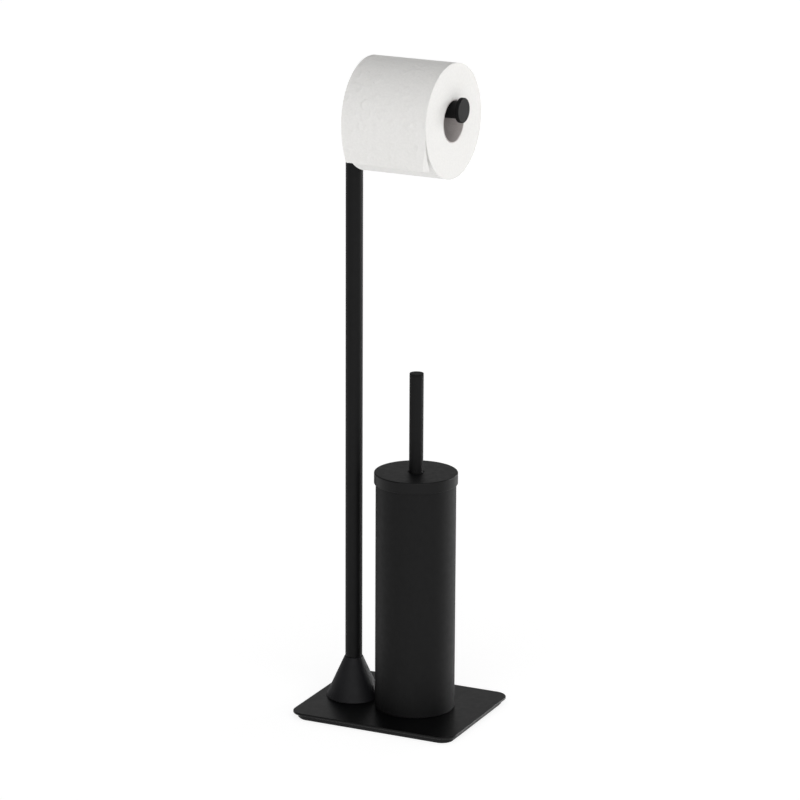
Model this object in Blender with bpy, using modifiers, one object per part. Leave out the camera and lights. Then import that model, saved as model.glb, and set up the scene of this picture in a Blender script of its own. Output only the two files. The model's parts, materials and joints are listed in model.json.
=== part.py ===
"""Free-standing toilet set: a base plate carries a tall post with a roll arm, and a brush holder.

Metres, +Z up. The origin is the middle of the base's underside, +X runs along the plate's long side
and the front is -Y. The roll arm stands on the post turned by ARM_TURN from +X, as its joint lets it.
Every turned piece is a profile of (radius, height) points; pieces that touch keep a gap of GAP.
"""

from math import cos, pi, radians, sin, sqrt

import bmesh
import bpy
from mathutils import Matrix, Vector

GAP = 0.0003
EDGE = 0.0005

# Base
PLATE_X = 0.198
PLATE_Y = 0.163
PLATE_T = 0.0028
PLATE_CORNER = 0.016
WEIGHT_INSET = 0.0046
WEIGHT_T = 0.0047
MAT_INSET = 0.0058
MAT_T = 0.0010
ACCESS_R = 0.0085
RIM_EASE = 0.0007

# Post and roll arm
POST_X = -0.0578
TUBE_R = 0.0095
TUBE_WALL = 0.0015
FOOT_R = 0.0307
FOOT_TOP_R = 0.0103
FOOT_TOP_Z = 0.0560
JOINT_Z = 0.640
ARM_Z = 0.6879
BEND_R = 0.014
SLEEVE_HALF = 0.018
ARM_END_X = 0.0710
ARM_TURN = radians(-3.8)
KNOB_R = 0.0135
KNOB_T = 0.0044
HUB_H = 0.012
FOOT_WALL = 0.0024
PLUG_H = 0.022
END_PLUG_H = 0.015
STUD_L = 0.012

# Toilet roll
ROLL_X0 = -0.0384
ROLL_W = 0.102
ROLL_R = 0.0622
CORE_R = 0.0224
CORE_WALL = 0.0009
ROLL_Z = ARM_Z + TUBE_R + GAP - CORE_R
TAIL_T = 0.0005
TAIL_START = radians(-8)
TAIL_LENGTH = 0.0565
TAIL_LIFT_FAR = 0.0070
TAIL_LIFT_NEAR = 0.0088
TAIL_MARGIN = 0.0004

# Brush holder
HOLDER_X = 0.0179
HOLDER_R = 0.0444
HOLDER_WALL = 0.0008
HOLDER_TOP_Z = 0.2756
LINER_R = 0.0430
LINER_WALL = 0.0013
LINER_Z = 0.0182
LINER_ROUND = 0.005
FLANGE_T = 0.0010
PAN_T = 0.0018
PAN_RIM = 0.008
LID_R = 0.0462
LID_TOP_Z = 0.2806
LID_T = 0.0015
LID_RIM = 0.0125
LID_RIM_WALL = 0.0011
LID_HOLE_R = 0.0092
LID_ROUND = 0.0012
GASKET_W = 0.0032
BUSH_FLANGE = 0.0015
BUSH_RISE = 0.0017

# Brush
HANDLE_R = 0.0078
HANDLE_WALL = 0.0012
HANDLE_TOP_Z = 0.3924
CAP_T = 0.0015
CAP_PLUG = 0.008
INSERT_H = 0.020
COLLAR_R = 0.0120
COLLAR_H = 0.0030
STEM_SOCKET = 0.022
STEM_R = 0.0045
HEAD_TOP_Z = 0.134
HEAD_R = 0.0105
HEAD_NOSE = 0.004
BRUSH_R = 0.0365
BRUSH_ROUND = 0.011
BRUSH_Z0 = 0.0300
BRUSH_Z1 = 0.1200

# Threads
SCREW_R = 0.0030
SCREW_HOLE_R = SCREW_R + GAP
SCREW_HEAD_R = 0.0050
SOCKET_R = 0.0022
SOCKET_DEPTH = 0.0018
SINK_RUN = 0.0016
NUT_R = 0.0058
NUT_T = 0.0050
SCREW_SHY = 0.003

CUT = 0.002
SMALL = 16
ROUND = 28
WIDE = 40
BEND_STEPS = 10
TAIL_ROWS = 10
TAIL_COLUMNS = 4

MAT_Z = 0.0
WEIGHT_Z = MAT_Z + MAT_T + GAP
PLATE_Z = WEIGHT_Z + WEIGHT_T + GAP
DECK_Z = PLATE_Z + PLATE_T
BUSH_Z = HOLDER_TOP_Z + BUSH_RISE
COLLAR_Z = BUSH_Z - GAP - COLLAR_H

PARTS = "toilet_roll_stand"
CUTTERS = "cutters"


def start():
    """An empty scene with one collection for the parts and one for the cutters."""
    for obj in list(bpy.data.objects):
        bpy.data.objects.remove(obj, do_unlink=True)
    for name in (PARTS, CUTTERS):
        bpy.context.scene.collection.children.link(bpy.data.collections.new(name))


def material(name, colour, roughness, metallic=0.0):
    made = bpy.data.materials.new(name)
    made.use_nodes = True
    shader = made.node_tree.nodes["Principled BSDF"]
    shader.inputs["Base Color"].default_value = (*colour, 1.0)
    shader.inputs["Roughness"].default_value = roughness
    shader.inputs["Metallic"].default_value = metallic
    return made


def black_coat(name):
    return material(name, (0.016, 0.016, 0.018), 0.48)


def steel(name):
    return material(name, (0.55, 0.55, 0.56), 0.35, 1.0)


def black_plastic(name):
    return material(name, (0.012, 0.012, 0.013), 0.42)


def paper(name):
    return material(name, (0.86, 0.86, 0.84), 0.9)


def new_object(name, mesh, finish=None):
    obj = bpy.data.objects.new(name, mesh)
    if finish:
        bpy.data.collections[PARTS].objects.link(obj)
        mesh.materials.append(finish)
    else:
        bpy.data.collections[CUTTERS].objects.link(obj)
        obj.hide_render = True
        obj.display_type = "WIRE"
    return obj


def shade(obj, angle=35):
    obj.data.shade_smooth()
    obj.data.set_sharp_from_angle(angle=radians(angle))
    return obj


def applied(obj):
    """The object with its modifiers made part of its mesh."""
    graph = bpy.context.evaluated_depsgraph_get()
    mesh = bpy.data.meshes.new_from_object(obj.evaluated_get(graph))
    obj.modifiers.clear()
    obj.data = mesh
    return obj


def turned(name, profile, at, finish, steps=ROUND, axis="Z"):
    """Turns a profile of (radius, height) points, closed or ending on the axis, about an axis through at."""
    mesh = bpy.data.meshes.new(name)
    count = len(profile)
    points = [(radius, 0.0, height) for radius, height in profile]
    closed = all(radius > 0 for radius, _ in profile)
    edges = [(i, (i + 1) % count) for i in range(count if closed else count - 1)]
    mesh.from_pydata(points, edges, [])
    obj = new_object(name, mesh, finish)
    screw = obj.modifiers.new("turn", "SCREW")
    screw.steps = screw.render_steps = steps
    screw.use_merge_vertices = True
    screw.merge_threshold = 0.00001
    screw.use_smooth_shade = True
    applied(obj)
    facing_out(obj)
    if axis == "X":
        obj.data.transform(Matrix.Rotation(pi / 2, 4, "Y"))
    obj.location = at
    return shade(obj)


def facing_out(obj):
    shell = bmesh.new()
    shell.from_mesh(obj.data)
    bmesh.ops.remove_doubles(shell, verts=shell.verts, dist=0.000001)
    bmesh.ops.recalc_face_normals(shell, faces=shell.faces)
    if shell.calc_volume(signed=True) < 0:
        bmesh.ops.reverse_faces(shell, faces=shell.faces)
    shell.to_mesh(obj.data)
    shell.free()


def arc(centre, radius, start, end, steps):
    """Points on an arc in a profile's plane, angles in degrees from the radial direction towards +height."""
    turns = [radians(start + (end - start) * i / steps) for i in range(steps + 1)]
    return [(centre[0] + radius * cos(a), centre[1] + radius * sin(a)) for a in turns]


def ring(inner, outer, low, high, ease=0.0):
    """The profile of a plain ring whose two outer corners are cut back by ease."""
    if not ease:
        return [(inner, low), (outer, low), (outer, high), (inner, high)]
    return [
        (inner, low),
        (outer - ease, low),
        (outer, low + ease),
        (outer, high - ease),
        (outer - ease, high),
        (inner, high),
    ]


def rod(radius, low, high, ease):
    return [
        (0.0, low),
        (radius - ease, low),
        (radius, low + ease),
        (radius, high - ease),
        (radius - ease, high),
        (0.0, high),
    ]


def peg(name, radius, low, high, segments, top_radius=None, finish=None):
    """A closed round or many-sided peg from height low to height high, a cutter unless it has a finish."""
    shape = bmesh.new()
    bmesh.ops.create_cone(
        shape,
        cap_ends=True,
        segments=segments,
        radius1=radius,
        radius2=radius if top_radius is None else top_radius,
        depth=high - low,
        matrix=Matrix.Translation((0.0, 0.0, (low + high) / 2)),
    )
    mesh = bpy.data.meshes.new(name)
    shape.to_mesh(mesh)
    shape.free()
    return new_object(name, mesh, finish)


def cutter(name, radius, low, high, at, segments=SMALL, top_radius=None):
    obj = peg(name, radius, low, high, segments, top_radius)
    obj.location = at
    return obj


def combine(obj, other, operation="DIFFERENCE"):
    boolean = obj.modifiers.new(other.name, "BOOLEAN")
    boolean.operation = operation
    boolean.object = other
    return obj


def slab(name, size_x, size_y, low, thickness, corner, finish, ease=0.0, ease_steps=1):
    """A flat sheet with rounded corners, its rim eased on both faces."""
    shape = bmesh.new()
    bmesh.ops.create_cube(shape, size=1.0)
    bmesh.ops.scale(shape, vec=(size_x, size_y, thickness), verts=shape.verts)
    uprights = [e for e in shape.edges if abs(e.verts[0].co.z - e.verts[1].co.z) > thickness / 2]
    bmesh.ops.bevel(shape, geom=uprights, offset=corner, segments=6, affect="EDGES", profile=0.5)
    if ease:
        rim = [e for e in shape.edges if abs(e.verts[0].co.z - e.verts[1].co.z) < thickness / 2]
        rim = [e for e in rim if not e.is_boundary and e.calc_face_angle(0.0) > radians(45)]
        bmesh.ops.bevel(shape, geom=rim, offset=ease, segments=ease_steps, affect="EDGES", profile=0.5)
    mesh = bpy.data.meshes.new(name)
    shape.to_mesh(mesh)
    shape.free()
    obj = new_object(name, mesh, finish)
    obj.location = (0.0, 0.0, low + thickness / 2)
    return shade(obj, 50)


def tube_path(name, points, radius, finish=None):
    """A solid round bar along a list of points, as a mesh."""
    curve = bpy.data.curves.new(name, "CURVE")
    curve.dimensions = "3D"
    curve.bevel_depth = radius
    curve.bevel_resolution = 6
    curve.use_fill_caps = True
    spline = curve.splines.new("POLY")
    spline.points.add(len(points) - 1)
    for place, point in zip(spline.points, points):
        place.co = (*point, 1.0)
    guide = bpy.data.objects.new(name + "_curve", curve)
    bpy.data.collections[CUTTERS].objects.link(guide)
    graph = bpy.context.evaluated_depsgraph_get()
    mesh = bpy.data.meshes.new_from_object(guide.evaluated_get(graph))
    mesh.name = name
    bpy.data.objects.remove(guide)
    obj = new_object(name, mesh, finish)
    facing_out(obj)
    return shade(obj)


def turn_about_post(*pieces):
    """Turns pieces that were made along X about the post, with the arm."""
    post = Vector((POST_X, 0.0, 0.0))
    turn = Matrix.Translation(post) @ Matrix.Rotation(ARM_TURN, 4, "Z") @ Matrix.Translation(-post)
    bpy.context.view_layer.update()
    for piece in pieces:
        piece.matrix_world = turn @ piece.matrix_world
    return turn


def parent_to_axis(name, at, children):
    """An empty on a joint's axis that carries the pieces of one moving body."""
    empty = bpy.data.objects.new(name, None)
    empty.location = at
    bpy.data.collections[PARTS].objects.link(empty)
    bpy.context.view_layer.update()
    for child in children:
        child.parent = empty
        child.matrix_parent_inverse = empty.matrix_world.inverted()
    return empty


def base():
    post = (POST_X, 0.0, 0.0)
    holder = (HOLDER_X, 0.0, 0.0)
    coat = black_coat("plate_coat")
    plate = slab("base_plate", PLATE_X, PLATE_Y, PLATE_Z, PLATE_T, PLATE_CORNER, coat, RIM_EASE, 2)
    weight = slab(
        "base_weight",
        PLATE_X - 2 * WEIGHT_INSET,
        PLATE_Y - 2 * WEIGHT_INSET,
        WEIGHT_Z,
        WEIGHT_T,
        PLATE_CORNER - WEIGHT_INSET / 2,
        black_coat("weight_coat"),
    )
    mat = slab(
        "anti_slip_mat",
        PLATE_X - 2 * MAT_INSET,
        PLATE_Y - 2 * MAT_INSET,
        MAT_Z,
        MAT_T,
        PLATE_CORNER - MAT_INSET / 2,
        material("mat_rubber", (0.03, 0.03, 0.03), 0.85),
    )
    for label, at in (("post", post), ("holder", holder)):
        access = cutter(label + "_access", ACCESS_R, MAT_Z - CUT, WEIGHT_Z + WEIGHT_T + GAP / 2, at)
        combine(weight, access)
        combine(mat, access)
        shoulder = PLATE_Z + 2 * GAP
        wide = SCREW_HEAD_R + sqrt(2) * GAP
        sink = cutter(
            label + "_sink",
            wide + SINK_RUN,
            shoulder - SINK_RUN,
            shoulder + wide - SCREW_HOLE_R,
            at,
            top_radius=SCREW_HOLE_R,
        )
        hole = cutter(label + "_hole", SCREW_HOLE_R, PLATE_Z - CUT, DECK_Z + CUT, at)
        combine(plate, sink)
        combine(plate, hole)


def countersunk_screw(name, at, top):
    """A socket screw with a 45 degree flat head, standing in the plate from below up to height top."""
    low = PLATE_Z + GAP
    shoulder = low + GAP
    profile = [
        (0.0, low),
        (SCREW_HEAD_R, low),
        (SCREW_HEAD_R, shoulder),
        (SCREW_R, shoulder + SCREW_HEAD_R - SCREW_R),
        (SCREW_R, top - EDGE),
        (SCREW_R - EDGE, top),
        (0.0, top),
    ]
    screw = turned(name, profile, at, steel(name + "_steel"), SMALL)
    socket = cutter(name + "_socket", SOCKET_R, low - CUT, low + SOCKET_DEPTH, at, 6)
    return combine(screw, socket)


def post():
    at = (POST_X, 0.0, 0.0)
    low = DECK_Z + GAP
    hub_z = FOOT_TOP_Z - HUB_H
    turned(
        "cone_foot",
        [
            (SCREW_HOLE_R, FOOT_TOP_Z),
            (SCREW_HOLE_R, hub_z),
            (FOOT_TOP_R, hub_z),
            (FOOT_R - FOOT_WALL, low),
            (FOOT_R - EDGE, low),
            (FOOT_R, low + EDGE),
            (FOOT_TOP_R, FOOT_TOP_Z - EDGE),
            (FOOT_TOP_R - EDGE, FOOT_TOP_Z),
        ],
        at,
        black_coat("foot_coat"),
        WIDE,
    )
    inner = TUBE_R - TUBE_WALL
    turned("post_tube", ring(inner, TUBE_R, FOOT_TOP_Z + GAP, JOINT_Z, GAP), at, black_coat("post_coat"))
    plug_z = FOOT_TOP_Z + PLUG_H
    plug = ring(SCREW_HOLE_R, inner - GAP, FOOT_TOP_Z + GAP, plug_z)
    turned("post_plug", plug, at, steel("plug_steel"), SMALL)
    countersunk_screw("post_screw", at, plug_z - SCREW_SHY)
    turned(
        "joint_sleeve",
        rod(inner - GAP, JOINT_Z - SLEEVE_HALF, JOINT_Z + SLEEVE_HALF, EDGE),
        at,
        steel("sleeve_steel"),
        SMALL,
    )


def arm_route(before, after):
    """The centre line of the arm: up the post, round the bend and out along X, run on past both ends."""
    centre = Vector((POST_X + BEND_R, 0.0, ARM_Z - BEND_R))
    turns = [pi - pi / 2 * i / BEND_STEPS for i in range(BEND_STEPS + 1)]
    bend = [centre + BEND_R * Vector((cos(a), 0.0, sin(a))) for a in turns]
    return [Vector((POST_X, 0.0, JOINT_Z + GAP - before)), *bend, Vector((ARM_END_X + after, 0.0, ARM_Z))]


def arm():
    inner = TUBE_R - TUBE_WALL
    tube = tube_path("arm_tube", arm_route(0.0, 0.0), TUBE_R, black_coat("arm_coat"))
    bore = tube_path("arm_bore", arm_route(CUT, CUT), inner)
    combine(tube, bore)
    axis = (0.0, 0.0, ARM_Z)
    plug = turned(
        "arm_end_plug",
        ring(SCREW_HOLE_R, inner - GAP, ARM_END_X - END_PLUG_H, ARM_END_X - GAP),
        axis,
        steel("end_plug_steel"),
        SMALL,
        "X",
    )
    face = ARM_END_X + GAP
    knob = turned(
        "arm_knob",
        [
            (0.0, face - STUD_L),
            (SCREW_R - EDGE, face - STUD_L),
            (SCREW_R, face - STUD_L + EDGE),
            (SCREW_R, face),
            (KNOB_R - EDGE, face),
            (KNOB_R, face + EDGE),
            (KNOB_R, face + KNOB_T - EDGE),
            (KNOB_R - EDGE, face + KNOB_T),
            (0.0, face + KNOB_T),
        ],
        axis,
        black_coat("knob_coat"),
        ROUND,
        "X",
    )
    turn_about_post(tube, bore, plug, knob)


def tail_point(along, across):
    """A point on the loose outer sheet: along it and across it, each from 0 to 1."""
    lift = TAIL_LIFT_FAR + (TAIL_LIFT_NEAR - TAIL_LIFT_FAR) * across**1.5
    angle = TAIL_START + TAIL_LENGTH * along / (ROLL_R + lift / 2)
    radius = ROLL_R + GAP + lift * along**2
    x = ROLL_X0 + TAIL_MARGIN + (ROLL_W - 2 * TAIL_MARGIN) * across
    return Vector((x, -radius * cos(angle), ROLL_Z - radius * sin(angle)))


def tail():
    """The sheet is a grid of points facing away from the roll, thickened outwards."""
    shape = bmesh.new()
    grid = []
    for i in range(TAIL_ROWS + 1):
        row = [tail_point(i / TAIL_ROWS, j / TAIL_COLUMNS) for j in range(TAIL_COLUMNS + 1)]
        grid.append([shape.verts.new(point) for point in row])
    for upper, lower in zip(grid, grid[1:]):
        for j in range(TAIL_COLUMNS):
            shape.faces.new((upper[j], lower[j], lower[j + 1], upper[j + 1]))
    mesh = bpy.data.meshes.new("roll_tail")
    shape.to_mesh(mesh)
    shape.free()
    obj = new_object("roll_tail", mesh, paper("tail_paper"))
    solid = obj.modifiers.new("thickness", "SOLIDIFY")
    solid.thickness = TAIL_T
    solid.offset = 1.0
    return shade(obj, 60)


def roll():
    axis = (0.0, 0.0, ROLL_Z)
    end = ROLL_X0 + ROLL_W
    core = turned(
        "roll_core",
        ring(CORE_R, CORE_R + CORE_WALL, ROLL_X0, end),
        axis,
        material("core_card", (0.38, 0.33, 0.27), 0.9),
        ROUND,
        "X",
    )
    wound = turned(
        "roll_paper",
        ring(CORE_R + CORE_WALL + GAP, ROLL_R, ROLL_X0, end, EDGE),
        axis,
        paper("wound_paper"),
        WIDE,
        "X",
    )
    loose = tail()
    turn = turn_about_post(core, wound, loose)
    parent_to_axis("roll_axis", turn @ Vector((ROLL_X0 + ROLL_W / 2, 0.0, ROLL_Z)), (core, wound, loose))


def holder():
    at = (HOLDER_X, 0.0, 0.0)
    low = DECK_Z + GAP
    inner = HOLDER_R - HOLDER_WALL
    turned(
        "holder_tube",
        [
            (inner, low),
            (HOLDER_R - EDGE, low),
            (HOLDER_R, low + EDGE),
            (HOLDER_R, HOLDER_TOP_Z),
            (inner, HOLDER_TOP_Z),
        ],
        at,
        black_coat("holder_coat"),
        WIDE,
    )
    pan = inner - GAP
    turned(
        "holder_base",
        [
            (SCREW_HOLE_R, low),
            (pan - EDGE, low),
            (pan, low + EDGE),
            (pan, low + PAN_RIM),
            (pan - PAN_T, low + PAN_RIM),
            (pan - PAN_T, low + PAN_T),
            (SCREW_HOLE_R, low + PAN_T),
        ],
        at,
        steel("pan_steel"),
        ROUND,
    )
    nut_z = low + PAN_T + GAP
    nut = peg("holder_nut", NUT_R, nut_z, nut_z + NUT_T, 6, finish=steel("nut_steel"))
    nut.location = at
    combine(nut, cutter("nut_bore", SCREW_HOLE_R, nut_z - CUT, nut_z + NUT_T + CUT, at))
    countersunk_screw("holder_screw", at, nut_z + NUT_T + EDGE)
    flange_z = HOLDER_TOP_Z + GAP
    bore = LINER_R - LINER_WALL
    turned(
        "holder_liner",
        [
            (0.0, LINER_Z),
            *arc((LINER_R - LINER_ROUND, LINER_Z + LINER_ROUND), LINER_ROUND, -90, 0, 4),
            (LINER_R, flange_z),
            (HOLDER_R, flange_z),
            (HOLDER_R, flange_z + FLANGE_T),
            (bore, flange_z + FLANGE_T),
            (bore, LINER_Z + LINER_ROUND),
            (LINER_R - LINER_ROUND, LINER_Z + LINER_WALL),
            (0.0, LINER_Z + LINER_WALL),
        ],
        at,
        material("liner_plastic", (0.55, 0.56, 0.56), 0.5),
        WIDE,
    )


def lid():
    at = (HOLDER_X, 0.0, 0.0)
    under = LID_TOP_Z - LID_T
    foot = LID_TOP_Z - LID_RIM
    shell = turned(
        "brush_lid",
        [
            (LID_HOLE_R, under),
            (LID_R - LID_RIM_WALL, under),
            (LID_R - LID_RIM_WALL, foot),
            (LID_R - EDGE, foot),
            (LID_R, foot + EDGE),
            *arc((LID_R - LID_ROUND, LID_TOP_Z - LID_ROUND), LID_ROUND, 0, 90, 3),
            (LID_HOLE_R + GAP, LID_TOP_Z),
            (LID_HOLE_R, LID_TOP_Z - GAP),
        ],
        at,
        black_coat("lid_coat"),
        WIDE,
    )
    flange = BUSH_Z + BUSH_FLANGE
    bush = turned(
        "lid_bush",
        [
            (HANDLE_R + GAP, BUSH_Z),
            (COLLAR_R, BUSH_Z),
            (COLLAR_R, flange),
            (LID_HOLE_R - GAP, flange),
            (LID_HOLE_R - GAP, LID_TOP_Z - 2 * GAP),
            (HANDLE_R + GAP, LID_TOP_Z - 2 * GAP),
        ],
        at,
        black_plastic("bush_plastic"),
    )
    gasket_z = HOLDER_TOP_Z + 2 * GAP + FLANGE_T
    gasket = turned(
        "lid_gasket",
        ring(HOLDER_R - GASKET_W, HOLDER_R, gasket_z, under - GAP),
        at,
        material("gasket_rubber", (0.03, 0.03, 0.03), 0.8),
        WIDE,
    )
    return shell, bush, gasket


def brush():
    at = (HOLDER_X, 0.0, 0.0)
    inner = HANDLE_R - HANDLE_WALL
    cap_z = HANDLE_TOP_Z - CAP_T
    tube = turned("handle_tube", ring(inner, HANDLE_R, BUSH_Z, cap_z - GAP), at, black_coat("handle_coat"))
    cap = turned(
        "handle_cap",
        [
            (0.0, cap_z - CAP_PLUG),
            (inner - GAP, cap_z - CAP_PLUG),
            (inner - GAP, cap_z),
            (HANDLE_R, cap_z),
            (HANDLE_R, HANDLE_TOP_Z - EDGE),
            (HANDLE_R - EDGE, HANDLE_TOP_Z),
            (0.0, HANDLE_TOP_Z),
        ],
        at,
        black_coat("cap_coat"),
    )
    thread_top = BUSH_Z + INSERT_H - CUT
    insert = turned(
        "handle_insert",
        ring(SCREW_HOLE_R, inner - GAP, BUSH_Z, BUSH_Z + INSERT_H),
        at,
        steel("insert_steel"),
        SMALL,
    )
    collar = turned(
        "stop_collar",
        ring(SCREW_HOLE_R, COLLAR_R, COLLAR_Z, BUSH_Z - GAP, EDGE),
        at,
        black_plastic("collar_plastic"),
    )
    stem = turned(
        "brush_stem",
        [
            (0.0, HEAD_TOP_Z - STEM_SOCKET),
            (SCREW_R, HEAD_TOP_Z - STEM_SOCKET),
            (SCREW_R, HEAD_TOP_Z + GAP),
            (STEM_R, HEAD_TOP_Z + GAP),
            (STEM_R, COLLAR_Z - GAP),
            (SCREW_R, COLLAR_Z - GAP),
            (SCREW_R, thread_top - EDGE),
            (SCREW_R - EDGE, thread_top),
            (0.0, thread_top),
        ],
        at,
        black_plastic("stem_plastic"),
        SMALL,
    )
    socket = HEAD_TOP_Z - STEM_SOCKET - GAP
    head = turned(
        "brush_head",
        [
            (0.0, BRUSH_Z0 + HEAD_NOSE),
            *arc((HEAD_R - HEAD_NOSE, BRUSH_Z0 + 2 * HEAD_NOSE), HEAD_NOSE, -90, 0, 3),
            (HEAD_R, BRUSH_Z1 + EDGE),
            (STEM_R + EDGE, HEAD_TOP_Z),
            (SCREW_HOLE_R, HEAD_TOP_Z),
            (SCREW_HOLE_R, socket),
            (0.0, socket),
        ],
        at,
        black_plastic("head_plastic"),
        SMALL,
    )
    bore = HEAD_R + GAP
    bristles = turned(
        "brush_bristles",
        [
            (bore, BRUSH_Z0),
            *arc((BRUSH_R - BRUSH_ROUND, BRUSH_Z0 + BRUSH_ROUND), BRUSH_ROUND, -90, 0, 4),
            *arc((BRUSH_R - BRUSH_ROUND, BRUSH_Z1 - BRUSH_ROUND), BRUSH_ROUND, 0, 90, 4),
            (bore, BRUSH_Z1),
        ],
        at,
        material("bristle_nylon", (0.02, 0.02, 0.022), 0.6),
        ROUND,
    )
    return tube, cap, insert, collar, stem, head, bristles


def main():
    start()
    base()
    post()
    arm()
    roll()
    holder()
    axis = parent_to_axis("lid_axis", (HOLDER_X, 0.0, LID_TOP_Z), lid())
    turning = parent_to_axis("brush_axis", (HOLDER_X, 0.0, LID_TOP_Z), brush())
    turning.parent = axis
    turning.matrix_parent_inverse = axis.matrix_world.inverted()


main()
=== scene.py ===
"""The looks of a free-standing toilet roll holder with a brush set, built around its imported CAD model.

Metres, +Z up, the front is -Y. Each turned piece is a profile of (radius, height, ease) corners, where the
ease is the rounding of the corner. Places and sizes come from the boxes of the CAD nodes; what a box can't
give is named here or at the head of its section. The arm and the roll are made pointing along +X and then
turned about the post to where the roll's joint is.
"""

import json
import random
from math import atan2, cos, pi, radians, sin, sqrt, tan

import bmesh
import bpy
import numpy as np
from mathutils import Euler, Matrix, Vector


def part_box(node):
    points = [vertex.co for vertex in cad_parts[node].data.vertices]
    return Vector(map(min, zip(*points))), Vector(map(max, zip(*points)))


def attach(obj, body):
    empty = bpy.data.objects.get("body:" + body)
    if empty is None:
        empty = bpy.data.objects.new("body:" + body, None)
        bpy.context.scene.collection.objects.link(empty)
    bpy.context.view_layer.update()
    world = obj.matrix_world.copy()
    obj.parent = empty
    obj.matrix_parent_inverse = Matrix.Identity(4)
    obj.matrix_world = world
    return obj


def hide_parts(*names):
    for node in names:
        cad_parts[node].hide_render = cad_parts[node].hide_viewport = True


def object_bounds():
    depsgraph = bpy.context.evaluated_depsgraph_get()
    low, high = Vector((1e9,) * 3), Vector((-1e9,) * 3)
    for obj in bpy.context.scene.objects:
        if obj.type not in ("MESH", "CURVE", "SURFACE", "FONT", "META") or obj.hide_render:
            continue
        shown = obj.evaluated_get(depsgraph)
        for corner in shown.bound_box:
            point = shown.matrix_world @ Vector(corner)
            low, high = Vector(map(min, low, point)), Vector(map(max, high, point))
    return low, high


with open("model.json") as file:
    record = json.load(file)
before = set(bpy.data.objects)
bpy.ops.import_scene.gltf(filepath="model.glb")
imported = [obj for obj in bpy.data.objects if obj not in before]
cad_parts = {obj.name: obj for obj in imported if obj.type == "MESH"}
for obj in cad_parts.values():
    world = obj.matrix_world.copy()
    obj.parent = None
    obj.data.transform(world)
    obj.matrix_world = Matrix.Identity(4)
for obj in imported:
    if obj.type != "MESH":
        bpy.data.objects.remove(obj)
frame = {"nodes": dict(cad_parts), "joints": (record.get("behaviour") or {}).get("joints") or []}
cad_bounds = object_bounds()

# The gap between pieces that touch on the real object, and the radii of the screw bores and studs.
GAP = 0.0003
BORE_R = 0.0033
STUD_R = 0.003

# Steps round a turned piece, and the angle in degrees from which an edge stays sharp.
FINE = 160
MEDIUM = 96
COARSE = 48
SHARP_ANGLE = 40


class Box:
    """The place of a CAD node at rest, or before a turn. Its radius is half its width along Y."""

    def __init__(self, node, turn=None):
        self.low, self.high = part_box(node)
        if turn:
            back = turn.inverted()
            points = [back @ vertex.co for vertex in frame["nodes"][node].data.vertices]
            self.low = Vector([min(point[k] for point in points) for k in range(3)])
            self.high = Vector([max(point[k] for point in points) for k in range(3)])
        self.centre = (self.low + self.high) / 2
        self.size = self.high - self.low
        self.radius = self.size.y / 2


# ---------------------------------------------------------------- meshes


def add_mesh(name, points, faces, sharp=SHARP_ANGLE, weighted=True):
    """An object with outward faces, smooth up to the sharp angle in degrees."""
    mesh = bpy.data.meshes.new(name)
    mesh.from_pydata([tuple(p) for p in points], [], faces)
    mesh.validate()
    obj = bpy.data.objects.new(name, mesh)
    bpy.context.scene.collection.objects.link(obj)
    face_out(mesh)
    smooth_faces(obj, sharp, weighted)
    return obj


def smooth_faces(obj, sharp=SHARP_ANGLE, weighted=True):
    """Smooth shading up to the sharp angle. Weighted normals keep large faces flat next to their easings."""
    obj.data.shade_smooth()
    obj.data.set_sharp_from_angle(angle=radians(sharp))
    if weighted:
        normals = obj.modifiers.new("normals", "WEIGHTED_NORMAL")
        normals.keep_sharp = True


def face_out(mesh):
    """Turns the faces of a closed mesh outwards."""
    shell = bmesh.new()
    shell.from_mesh(mesh)
    bmesh.ops.recalc_face_normals(shell, faces=shell.faces)
    if shell.calc_volume(signed=True) < 0:
        bmesh.ops.reverse_faces(shell, faces=shell.faces)
    shell.to_mesh(mesh)
    shell.free()


def eased(corners, steps=5):
    """The corners (radius, height, ease) of an outline with each one rounded to its own ease."""
    points = []
    for i, (r, z, ease) in enumerate(corners):
        here = Vector((r, z))
        if not ease:
            points.append((r, z))
            continue
        back = Vector(corners[i - 1][:2]) - here
        on = Vector(corners[(i + 1) % len(corners)][:2]) - here
        half = back.angle(on) / 2
        run = min(ease / tan(half), 0.49 * back.length, 0.49 * on.length)
        centre = here + (back.normalized() + on.normalized()).normalized() * (run / cos(half))
        first = here + back.normalized() * run - centre
        last = here + on.normalized() * run - centre
        turn = first.angle_signed(last)
        for k in range(steps + 1):
            a = -turn * k / steps
            points.append(
                (
                    centre.x + first.x * cos(a) - first.y * sin(a),
                    centre.y + first.x * sin(a) + first.y * cos(a),
                )
            )
    return points


def turned(name, corners, at, steps=MEDIUM, axis="Z"):
    """Turns an outline about an axis through at. It is closed, or starts and ends on the axis."""
    outline = eased(corners)
    points, rows = [], []
    for radius, height in outline:
        if radius < 1e-9:
            rows.append([len(points)])
            points.append((0.0, 0.0, height))
            continue
        rows.append(list(range(len(points), len(points) + steps)))
        for k in range(steps):
            a = 2 * pi * k / steps
            points.append((radius * cos(a), radius * sin(a), height))
    pairs = list(zip(rows, rows[1:]))
    if len(rows[0]) > 1 and len(rows[-1]) > 1:
        pairs.append((rows[-1], rows[0]))
    faces = []
    for one, two in pairs:
        for k in range(steps):
            n = (k + 1) % steps
            if len(one) == 1:
                faces.append((one[0], two[k], two[n]))
            elif len(two) == 1:
                faces.append((one[k], two[0], one[n]))
            else:
                faces.append((one[k], two[k], two[n], one[n]))
    if axis == "X":
        points = [(h, x, y) for x, y, h in points]
    points = [(x + at[0], y + at[1], z + at[2]) for x, y, z in points]
    return add_mesh(name, points, faces)


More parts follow.
